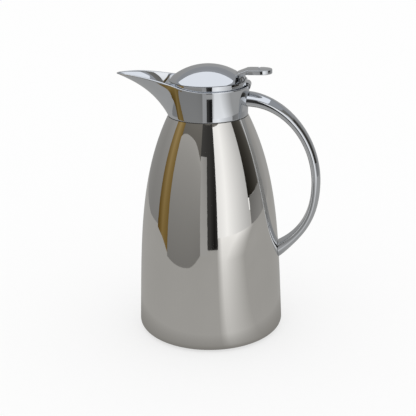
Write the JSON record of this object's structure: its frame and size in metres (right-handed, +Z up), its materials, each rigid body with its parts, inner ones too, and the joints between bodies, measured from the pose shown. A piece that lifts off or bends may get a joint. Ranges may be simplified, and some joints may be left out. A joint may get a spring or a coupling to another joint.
{
  "type": "coffee pot",
  "caption": "Tall polished vacuum coffee pot: bell-shaped casing, flared collar with a long spout, loop handle and a hinged dome lid with a thumb lever.",
  "frame": {"origin": "on the jug's axis, at the surface it stands on", "axes": "+Z up along the jug's axis, +X towards the handle, -X towards the spout, the jug is symmetric across its XZ plane"},
  "size_m": [0.1841, 0.135, 0.2476],
  "materials": {
    "polished_steel": "polished",
    "chrome_plate": "polished",
    "grey_plastic": "satin",
    "foot_rubber": "matte",
    "silvered_glass": "polished",
    "pad_felt": "matte",
    "clear_silicone": "satin",
    "screw_steel": "satin"
  },
  "bodies": {
    "jug": {"casing": "polished_steel", "base_ring": "grey_plastic", "base_cap": "grey_plastic", "foot_ring": "foot_rubber", "flask_cushion": "foot_rubber", "flask_outer": "silvered_glass", "flask_inner": "silvered_glass", "flask_tip": "silvered_glass", "flask_pads": "pad_felt", "neck_gasket": "clear_silicone", "pour_funnel": "grey_plastic", "seam_ring": "foot_rubber", "collar": "chrome_plate", "handle": "chrome_plate", "handle_root_screws": "screw_steel", "handle_foot_screw": "screw_steel", "handle_foot_plate": "screw_steel", "seat_ring": "chrome_plate", "hinge_pin": "screw_steel"},
    "lid": {"dome": "chrome_plate", "lid_plate": "grey_plastic", "knuckle": "chrome_plate", "thumb_lever": "chrome_plate", "lever_screws": "screw_steel", "plug": "grey_plastic", "plug_seal": "clear_silicone", "plug_screw": "screw_steel"}
  },
  "joints": [
    {"name": "lid_hinge", "type": "hinge", "parent": "jug", "child": "lid", "pos_m": [0.0302, 0, 0.2358], "axis": [0, 1, 0], "range_deg": [0, 40]}
  ]
}
